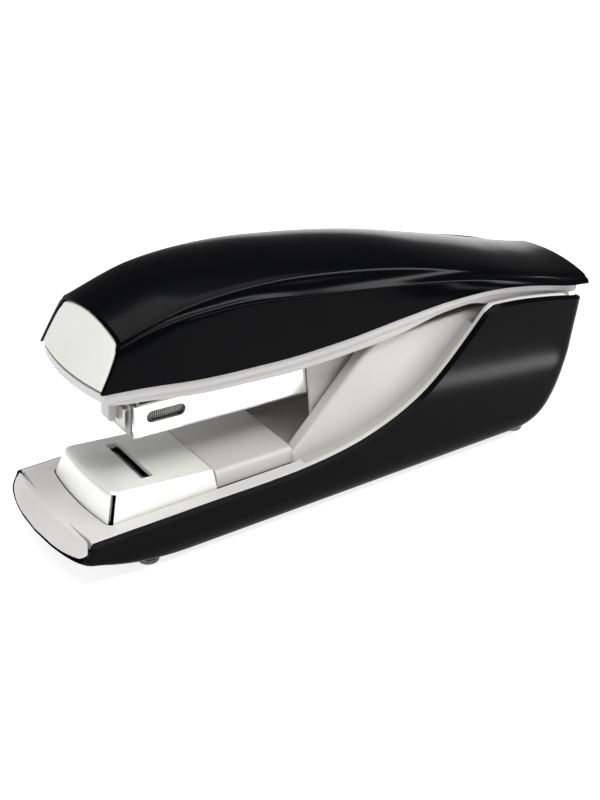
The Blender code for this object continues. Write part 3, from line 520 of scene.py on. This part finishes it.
def lid_ring(t, inset, below=0.0, flat=0.0):
    """One cross-section of the lid from the right edge over the top to the left edge."""
    front = min(1.0, max(0.0, (LID_LEAN_START - t) / LID_END_LENGTH))
    rear = min(1.0, max(0.0, (t - LID_TAIL_START) / LID_END_LENGTH))
    ridge_x = t + front * LID_LEAN * LID_FACE_HEIGHT
    z0 = lid_edge(t) - below
    z1, z2 = lid_crease(ridge_x), lid_shoulder(ridge_x)
    half0, half1, half2 = edge_half(t), crease_half(t), shoulder_half(t)
    corners = [
        (half0 - inset, z0),
        (half0 * 0.52 + half1 * 0.48 + 0.25 - inset, z0 * 0.55 + z1 * 0.45 - inset * 0.3),
        (half1 - inset, z1 - inset),
        ((half1 + half2) / 2 - 0.15 - inset, (z1 + z2) / 2 - 0.35 - inset),
        (half2 - inset, z2 - inset),
    ]
    crown = lid_crown(t)
    corners += [((half2 - inset) * k, z2 - inset + crown * (1 - k * k)) for k in (0.75, 0.5, 0.25, 0.0)]
    bends = [0.0, 3.0, crease_round(t), 1.1, 3.0, 2.4, 2.0, 1.5, 0.0]
    half = rounded(corners, bends, 7)
    ring = []
    for y, z in [(-y, z) for y, z in half[:-1]] + list(reversed(half)):
        lean = front * LID_LEAN * max(0.0, z - LID_LEAN_Z)
        bulge = (rear * LID_TAIL_BULGE - front * LID_NOSE_BULGE) * (1 - (y / LID_BULGE_HALF) ** 2)
        ring.append((t + lean + bulge, y, z0 + (z - z0) * (1 - flat)))
    return ring


def lid_rows(front, rear, inset):
    """Sections along the lid, and a rounded tail wall down to the lower edge."""
    stations = spread(front, front + 18, 22)[:-1]
    stations += spread(front + 18, rear - 12, 44)[:-1]
    stations += spread(rear - 12, rear, 13)
    rows = [lid_ring(t, inset(t)) for t in stations]
    for k in range(1, 6):
        angle = math.radians(18 * k)
        rows.append(
            [
                (x + LID_TURN * math.sin(angle), y * (1 - 0.025 * (1 - math.cos(angle))), z)
                for x, y, z in lid_ring(rear, inset(rear), flat=0.3 * (1 - math.cos(angle)))
            ]
        )
    for flat in (0.5, 0.75, 1.0):
        rows.append([(x + LID_TURN, y * 0.975, z) for x, y, z in lid_ring(rear, inset(rear), flat=flat)])
    return rows


def lid():
    """Black upper housing with a ridge and a crease along each side."""
    outer = lid_rows(LID_FRONT, LID_REAR, lambda t: 0.0)
    inner = lid_rows(LID_FRONT, LID_REAR - 1.5, curve(LID_WALL))
    for row, inner_row in zip(outer, inner):
        for end in (0, -1):
            inner_row[end] = (inner_row[end][0], inner_row[end][1], row[end][2])
    shell = thick_sheet("lid_shell_moulded", outer, inner)
    # The tail's lowest rows share points, which are welded so that the bevel gets no edge without a length.
    add(soften(shell, 0.22, 3, 50, weld=True), BLACK, "black_gloss_plastic", "handle", "lid_shell")


def lid_face(y, z, depth):
    """How far forward the lid's front face lies at one point of it."""
    bulge = LID_NOSE_BULGE * (1 - (y / LID_BULGE_HALF) ** 2)
    return LID_FRONT + depth + LID_LEAN * max(0.0, z - LID_LEAN_Z) - bulge


def end_cap():
    """Pale cap set into the lid's front opening, with a rounded border and a slightly domed face."""
    outline = [(y, z) for _, y, z in lid_ring(LID_FRONT, CAP_GAP, -CAP_LOW)]
    low_half = outline[-1][0]
    low_z = outline[0][1]
    outline += [(low_half * k, low_z) for k in spread(0.8, -0.8, 9)]
    rings = []
    for scale, depth in CAP_FACE:
        ring = []
        for y, z in outline:
            y2, z2 = y * scale, CAP_MIDDLE + (z - CAP_MIDDLE) * scale
            ring.append((lid_face(y2, z2, depth), y2, z2))
        rings.append(ring)
    add(loft("lid_end_cap_moulded", rings), CAP, "pale_grey_plastic", "handle", "lid_end_cap")


def frame_path(inset):
    """Plan path of the lid's lower edge with rounded front corners, rear right to rear left."""
    xs = [FRAME_REAR] + spread(62.0, -57.0, 60)
    right = [(x, -max(edge_half(x) - inset, FRAME_REAR_HALF if x > 0 else 0.0)) for x in xs]
    half = edge_half(LID_FRONT) - inset
    front_x = LID_FRONT + inset - 0.4
    front = [(front_x - LID_NOSE_BULGE * (1 - k * k), half * k) for k in spread(-1.0, 1.0, 17)]
    path = right + front + [(x, -y) for x, y in reversed(right)]
    corner = len(right)
    bends = [0.0] * len(path)
    for i in (corner, corner + len(front) - 1):
        bends[i] = 1.6
    return rounded(path, bends, 6)


def lid_frame():
    """Pale frame below the lid, with a step between its upper and lower band."""
    profile = [(0.8, 0), (0.8, 1), (1.05, 2), (1.6, 3), (1.6, 4), (1.85, 5), (2.6, 5), (2.8, 4), (2.8, 0)]
    paths = {inset: frame_path(inset) for inset, _ in profile}
    upper_band = curve(FRAME_BAND)
    rings = []
    for i in range(len(paths[0.8])):
        ring = []
        for inset, level in profile:
            x, y = paths[inset][i]
            top = lid_edge(x) - 0.3
            low = frame_low(x)
            step = top - upper_band(x)
            heights = (top, step, step - 0.3, step - 0.37, low + 0.3, low)
            ring.append((x, y, max(low, heights[level]) if level < 5 else low))
        rings.append(ring)
    add(loft("lid_frame_moulded", rings, sharp=50), PALE, "pale_grey_plastic", "handle", "lid_frame")


# Base


def hull_outline(z, inset, tip_inset=None):
    """Plan of the base at one height: a blunt bow, straight sides and a rounded stern."""
    bow_steps, side_steps, stern_steps = 30, 48, 12
    half = hull_half(z) - inset
    tip = hull_tip(z) + (inset if tip_inset is None else tip_inset)
    bow_end = hull_tip(z) + hull_bow(z)
    sag, power = hull_sag(z), hull_power(z)
    corner_x = bow_end - tip - sag
    rear = hull_rear(z) - inset
    corner = hull_corner(z) - inset / 2
    points = []
    for i in range(-bow_steps, bow_steps + 1):
        share = abs(math.sin(math.radians(9 * i / 3))) ** (2 / power)
        ahead = abs(math.cos(math.radians(9 * i / 3))) ** (2 / power)
        x = bow_end - sag * (1 - share * share) - corner_x * ahead
        points.append((x, math.copysign(half * share, -i)))
    start = points[-1][0]
    side_x = spread(start, rear - corner, side_steps)[1:-1]
    points += [(x, -half) for x in side_x]
    for side in (-1, 1):
        for i in range(stern_steps + 1):
            angle = math.radians(22.5 * i / 3 if side < 0 else 90 - 22.5 * i / 3)
            x = rear - corner + corner * math.sin(angle)
            points.append((x, side * (half - corner + corner * math.cos(angle))))
    points += [(x, half) for x in reversed(side_x)]
    return points


def hull_wall(inset, floor_z, rims):
    """Rows of points up the hull's wall, from floor_z to each column's own rim height."""
    rows = 26
    cache = {}
    grid = []
    for r in range(rows + 1):
        share = (r / rows) ** 1.7
        row = []
        for i, top in enumerate(rims):
            z = floor_z + (top - floor_z) * share
            key = round(z, 3)
            if key not in cache:
                cache[key] = hull_outline(z, inset)
            x, y = cache[key][i]
            row.append((x, y, z))
        grid.append(row)
    return grid


def base_shell():
    """Black hull with S-curved sides: outer wall, rim, inner wall and both faces of the floor."""
    rims = [13.0] * len(hull_outline(10.0, 0.0))
    for _ in range(12):  # each column's rim height and place depend on each other
        rims = [0.5 * top + 0.5 * rim(hull_outline(top, 0.0)[i][0]) for i, top in enumerate(rims)]
    slope = curve(((-69.5, 0.1), (-66.5, 0.75)))
    outside = [top - slope(x) for top, (x, _) in zip(rims, hull_outline(12.4, 0.0))]
    outer, inner = hull_wall(0.0, FLOOR_LOW, outside), hull_wall(WALL, FLOOR_TOP, rims)
    shell = loft("base_shell_moulded", outer + list(reversed(inner)))
    cut(shell, block("notch", (52.0, -16.4, 24.2), (75.0, 16.4, 50.0)))
    add(soften(shell, 0.2, 3, 50), BLACK, "black_gloss_plastic", "base", "base_shell")


def slab_plan(x0, x1, half0, half1, nose, chamfer):
    """Plan of the anvil's slab: a gently curved front edge with rounded corners."""
    front = [(x0 - nose * (1 - k * k), (half0 - chamfer) * k) for k in spread(-1.0, 1.0, 17)]
    path = [(x1, -half1), (x0 + chamfer, -half0)] + front + [(x0 + chamfer, half0), (x1, half1)]
    bends = [0.0, 0.6, 0.6] + [0.0] * 15 + [0.6, 0.6, 0.0]
    return rounded(path, bends, 5)


def sweep_rim(name, extent, bend, side):
    """A strip with rounded upper edges that follows the base's rim."""
    x0, x1, y0, y1, top = extent
    depth = STRIP_DEPTH
    rings = []
    for x in spread(x0, x1, 90):
        slope = (rim(x + 0.2) - rim(x - 0.2)) / 0.4
        if abs(x - RIM[-1][0]) < 0.5:
            slope = 0.45
        up = Vector((-slope, 0.0, 1.0)).normalized()
        section = [(y0, -depth), (y0, top), (y1, top), (y1, -depth)]
        ring = []
        for y, h in rounded(section, [0.0, bend, bend, 0.0], 4):
            base = Vector((x, side * y, rim(x)))
            ring.append(tuple(base + (up if h > -depth / 2 else Vector((0, 0, 1))) * h))
        rings.append(ring)
    return loft(name, rings)


def base_liner():
    """Pale inner moulding: tray and front lip in one piece, side strips, shelves and the cheeks."""
    rings = [[(x, y, z) for x, y in hull_outline(z, WALL + LINER_GAP)] for z in (10.6, TRAY_Z)]
    tray = loft("liner_tray", rings)
    rings = []
    for z, more in LIP_LEVELS:
        rings.append([(x, y, z) for x, y in hull_outline(z, 0.35 + more, 0.1 + more)])
    lip = loft("liner_lip", rings)
    under = [(x, z + 0.3) for x, z in RIM_BOW] + [(80.0, 12.8), (80.0, 0.0), (-80.0, 0.0)]
    cut(lip, plate("under", under, -30.0, 30.0))
    join(tray, lip)
    opening = [[(x, y, z) for x, y in slab_plan(-60.55, -12.8, 13.62, 13.5, 1.1, 0.9)] for z in (0.0, 20.0)]
    cut(tray, loft("opening", opening), block("bracket_opening", (33.4, -8.2, 0.0), (75.0, 8.2, 14.0)))
    tray.data.shade_smooth()
    tray.data.set_sharp_from_angle(angle=math.radians(SHARP))
    add(soften(tray, 0.2, 3, 40), PALE, "pale_grey_plastic", "base", "base_liner")

    for name, side in (("left", 1), ("right", -1)):
        strip = sweep_rim(f"liner_strip_{name}", STRIP, STRIP_BEND, side)
        add(strip, PALE, "pale_grey_plastic", "base", "base_liner")
        shelf = sweep_rim(f"liner_shelf_{name}", SHELF_STRIP, SHELF_BEND, side)
        # The shelves take the darker copy of the pale plastic, which paints shade on them.
        add(shelf, SHELF, "pale_grey_plastic", "base", "base_liner")
        outline = rounded(CHEEK, CHEEK_BENDS, 5)[:-1] + arc(PIVOT, 6.0, 80, -15, 12) + list(CHEEK_REAR)
        wall = plate(f"liner_cheek_{name}", outline, side * CHEEK_Y[0], side * CHEEK_Y[1])
        cut(wall, rod("pin_hole", PIN_HOLE_R, (PIVOT[0], -20.0, PIVOT[1]), (PIVOT[0], 20.0, PIVOT[1])))
        add(soften(wall, 0.8, 4), PALE, "pale_grey_plastic", "base", "base_liner")


def feet():
    """Moulded rubber feet: a short barrel with a rounded sole."""
    profile = rounded(FOOT_PROFILE, [0.0, 0.1, 0.7, 0.0], 5)
    turn = spread(0, math.tau, 41)[:-1]
    for end, x in FOOT_PLACES:
        for side, y in FOOT_SIDES:
            rings = []
            for radius, z in profile[:-1] + list(FOOT_SOLE):
                rings.append([(x + radius * math.cos(a), y + radius * math.sin(a), z) for a in turn])
            foot = loft(f"foot_{end}_{side}_moulded", rings)
            add(foot, RUBBER, "dark_rubber", "base", f"foot_{end}_{side}")


# Anvil


def flange_gaps():
    """Narrow gaps at the slab's front corners, where its front and side flanges meet."""
    gaps = []
    for side in (-1, 1):
        rings = []
        for x, y, z in GAP_ENDS:
            ring = []
            for along, out in GAP_SECTION:
                ring.append((x + 0.707 * (along - out), side * (y + 0.707 * (along + out)), z))
            rings.append(ring)
        gaps.append(loft("flange_gap", rings))
    return gaps


def slab_rings(levels, rear):
    """The slab's plan at each level, sloping from the front height to the rear height."""
    rings = []
    for z0, z1, x0, half0, half1, nose, chamfer in levels:
        plan = slab_plan(x0, rear, half0, half1, nose, chamfer)
        rings.append([(x, y, z0 + (z1 - z0) * (x - x0) / (rear - x0)) for x, y in plan])
    return rings


def anvil():
    """Pressed steel plate with the clinch slot, and the pale bridge behind it."""
    levels = rounded(ANVIL_LEVELS, ANVIL_BENDS, 5)
    slab = loft("anvil_plate_pressed", slab_rings(levels, ANVIL_REAR), sharp=50)
    cut(slab, loft("hollow", slab_rings(ANVIL_HOLLOW, ANVIL_HOLLOW_REAR)))
    join(slab, block("slot_walls", *SLOT_WALLS))
    cut(slab, block("slot", *SLOT), *flange_gaps())
    add(soften(slab, 0.18, 3, 50), ANVIL, "polished_steel", "anvil", "anvil_plate")

    rings = []
    for x, top in BRIDGE_ENDS:
        section = [(-BRIDGE_HALF_LOW, BRIDGE_LOW), (-BRIDGE_HALF_TOP, top)]
        section += [(BRIDGE_HALF_TOP, top), (BRIDGE_HALF_LOW, BRIDGE_LOW)]
        rings.append([(x, y, z) for y, z in rounded(section, [0.0, 1.3, 1.3, 0.0], 6)])
    bridge = loft("anvil_bridge_moulded", rings)
    cut(bridge, block("hollow", *BRIDGE_HOLLOW))
    add(soften(bridge, 0.25, 3), PALE, "pale_grey_plastic", "anvil", "anvil_bridge")


def clincher():
    """Folding wings under the slot, with fine ribs across them."""
    for name, side in (("left", 1), ("right", -1)):
        low, high = WING_Y
        outline = [(low, WING_LOW), (high, WING_LOW), (high, WING_EDGE)]
        for i in range(RIBS):
            a = high - (high - low) * i / RIBS
            b = high - (high - low) * (i + 1) / RIBS
            outline += [(a - 0.05, WING_TOP), ((a + b) / 2, WING_TOP)]
            outline += [((a + b) / 2 - 0.03, RIB_LOW), (b + 0.03, RIB_LOW)]
        rings = [[(x, side * y, z) for y, z in outline] for x in WING_X]
        wing = loft(f"clinch_wing_{name}_ribbed", rings)
        add(wing, WING, "plain_steel", f"clinch_wing_{name}", f"clinch_wing_{name}")


# Magazine, placed in its own axes: u runs back along it and v up across it


def on_magazine(obj):
    """Moves a mesh from the magazine's axes to the stapler's."""
    turn = Matrix.Rotation(math.radians(MAGAZINE_TILT), 4, "Y")
    obj.data.transform(Matrix.Translation(Vector((PIVOT[0], 0.0, PIVOT[1])) * MM) @ turn)
    return obj


def u_section(half, top, low):
    """A U from its upper right end round to its upper left one."""
    return [(-half, top), (-half, low), (half, low), (half, top)]


def staple_strip():
    """Staples side by side, each wire rounded across its width."""
    outer = u_section(STAPLE_HALF, STAPLE_LOW, STAPLE_TOP)
    inner = u_section(STAPLE_HALF - STAPLE_THICK, STAPLE_LOW, STAPLE_TOP - STAPLE_THICK)
    section = outer + inner[::-1]
    count = len(section)
    bm = bmesh.new()
    for i in range(STAPLES):
        u = STAPLE_U + STAPLE_PITCH * i
        loops = []
        for du, shrink in STAPLE_ROUND:
            loop = []
            for k, (y, v) in enumerate(section):
                if k < len(outer):
                    y -= math.copysign(shrink, y)
                    v -= shrink if v == STAPLE_TOP else 0.0
                loop.append(bm.verts.new(Vector((u + du, y, v)) * MM))
            loops.append(loop)
        for a, b in zip(loops, loops[1:]):
            for k in range(count):
                bm.faces.new((a[k], a[(k + 1) % count], b[(k + 1) % count], b[k]))
        bm.faces.new(list(reversed(loops[0])))
        bm.faces.new(loops[-1])
    return finish_mesh("staple_strip_wires", bm, 25)


def magazine():
    """Channel with its windows, the staples in it, and the plate and tab at its nose."""
    outer = rounded(u_section(CHANNEL_HALF, CHANNEL_TOP, CHANNEL_LOW), [0.0, 1.3, 1.3, 0.0], 6)
    inner = u_section(CHANNEL_HALF - CHANNEL_SHEET, CHANNEL_TOP, CHANNEL_LOW + CHANNEL_SHEET)
    inner = rounded(inner[::-1], [0.0, 0.6, 0.6, 0.0], 6)
    rings = [[(u, y, v) for y, v in outer + inner] for u in (NOSE_U, TAIL_U)]
    channel = loft("magazine_channel_pressed", rings)
    window = arc((WINDOW_U[0], WINDOW_V), WINDOW_R, -90, 90, 12)
    window += arc((WINDOW_U[1], WINDOW_V), WINDOW_R, 90, 270, 12)
    cut(
        channel,
        plate("window", window, -20.0, 20.0),
        plate("notch", NOTCH, -20.0, 20.0),
        block("staple_exit", *STAPLE_EXIT),
    )
    soften(channel, 0.15, 3, 50)
    add(on_magazine(channel), CHROME, "polished_steel", "magazine", "magazine_channel")

    # The staples take the darkened wire, which paints the shade inside the channel.
    add(on_magazine(staple_strip()), WIRE, "staple_wire", "magazine", "staple_strip")

    front = block("nose_plate_pressed", *NOSE_PLATE)
    soften(front, 0.12, 2)
    add(on_magazine(front), NOSE, "plain_steel", "magazine", "nose_plate")
    tab = plate("nose_tab_bent", rounded(NOSE_TAB, NOSE_TAB_BENDS, 5), *NOSE_TAB_Y)
    soften(tab, 0.22, 3)
    add(on_magazine(tab), STEEL, "plain_steel", "magazine")


def catch():
    """Small hooked catch in front of the magazine's nose."""
    x, z = CATCH_AXIS
    barrel = arc(CATCH_AXIS, CATCH_R, 70, -60, 10)
    outline = barrel + [(x + dx, z + dz) for dx, dz in CATCH_HOOK]
    bends = [0.0] * len(barrel) + list(CATCH_BENDS)
    hook = plate("front_catch_moulded", rounded(outline, bends, 4, closed=True), -CATCH_HALF, CATCH_HALF)
    cut(hook, rod("hole", CATCH_HOLE_R, (x, -5.0, z), (x, 5.0, z), 24))
    soften(hook, 0.3, 3)
    add(hook, PALE, "pale_grey_plastic", "catch", "front_catch")


def carried_over():
    """CAD nodes that keep their shape get rounded edges and a procedural finish."""
    widths = {"magazine_carrier": 0.4, "driver_arm": 0.15, "driver_blade": 0.08, "pivot_bracket": 0.2}
    slot_of = {part["node"]: part["material_slot"] for part in frame["record"]["subparts"]}
    for name, obj in frame["nodes"].items():
        if obj.hide_render:
            continue
        obj.data.materials.clear()
        obj.data.materials.append(SLOTS[slot_of[name]])
        if not name.endswith("spring"):
            soften(obj, widths.get(name, 0.12), 2, 40, weld=True)


# Studio


def softbox(name, place, target, size, power, roll):
    """Rectangular area light that isn't seen by the camera itself."""
    data = bpy.data.lights.new(name, "AREA")
    data.shape = "RECTANGLE"
    data.size, data.size_y = size
    data.energy = power
    obj = bpy.data.objects.new(name, data)
    obj.location = place
    aim = (Vector(target) - Vector(place)).to_track_quat("-Z", "Y")
    obj.rotation_euler = (aim @ Quaternion((0.0, 0.0, 1.0), math.radians(roll))).to_euler()
    obj.visible_camera = False
    bpy.context.scene.collection.objects.link(obj)
    return obj


def studio():
    """White floor, a world that brightens overhead, and the lights."""
    bm = bmesh.new()
    bmesh.ops.create_grid(bm, x_segments=8, y_segments=8, size=FLOOR_SIZE)
    floor = finish_mesh("studio_floor", bm)
    paper = Shade("studio_paper", 0.9, specular=0.05)
    paper.colour(paper.noise(6.0), (0.36, 0.36, 0.36), (0.38, 0.38, 0.38))
    paper.shader.inputs["Emission Color"].default_value = (1.0, 1.0, 1.0, 1.0)
    paper.shader.inputs["Emission Strength"].default_value = FLOOR_GLOW
    floor.data.materials.append(paper.mat)

    world = bpy.data.worlds.new("studio_world")
    world.use_nodes = True
    tree = world.node_tree
    coords = tree.nodes.new("ShaderNodeTexCoord")
    split = tree.nodes.new("ShaderNodeSeparateXYZ")
    ramp = tree.nodes.new("ShaderNodeValToRGB")
    elements = ramp.color_ramp.elements
    for _ in SKY[2:]:
        elements.new(0.5)
    for element, (height, grey) in zip(elements, SKY):
        element.position = height
        element.color = (grey, grey, grey, 1.0)
    tree.links.new(coords.outputs["Generated"], split.inputs["Vector"])
    tree.links.new(split.outputs["Z"], ramp.inputs["Fac"])
    tree.links.new(ramp.outputs["Color"], tree.nodes["Background"].inputs["Color"])
    bpy.context.scene.world = world

    for name, place, target, size, power, roll in SOFTBOXES:
        softbox(name, place, target, size, power, roll)
    strip_at = Vector(LOW_STRIP_AT)
    strip_target = strip_at + Vector(LOW_STRIP_AIM)
    strip = softbox("low_strip", strip_at, strip_target, LOW_STRIP_SIZE, LOW_STRIP_POWER, LOW_STRIP_ROLL)
    strip.visible_diffuse = False


def camera():
    """Camera at the photo's place, aimed at the photo's centre."""
    data = bpy.data.cameras.new("camera")
    data.lens = CAMERA_LENS
    data.sensor_width = 36.0
    data.clip_start = 0.01
    obj = bpy.data.objects.new("camera", data)
    azimuth, elevation = math.radians(CAMERA_AZIMUTH), math.radians(CAMERA_ELEVATION)
    flat = CAMERA_DISTANCE * math.cos(elevation)
    height = CAMERA_DISTANCE * math.sin(elevation)
    offset = Vector((flat * math.sin(azimuth), -flat * math.cos(azimuth), height))
    obj.location = Vector(CAMERA_TARGET) + offset
    obj.rotation_euler = (-offset).to_track_quat("-Z", "Y").to_euler()
    bpy.context.scene.collection.objects.link(obj)
    bpy.context.scene.camera = obj
    bpy.context.scene.view_settings.view_transform = "Standard"


lid()
end_cap()
lid_frame()
base_shell()
base_liner()
feet()
anvil()
clincher()
magazine()
catch()
carried_over()
studio()
camera()
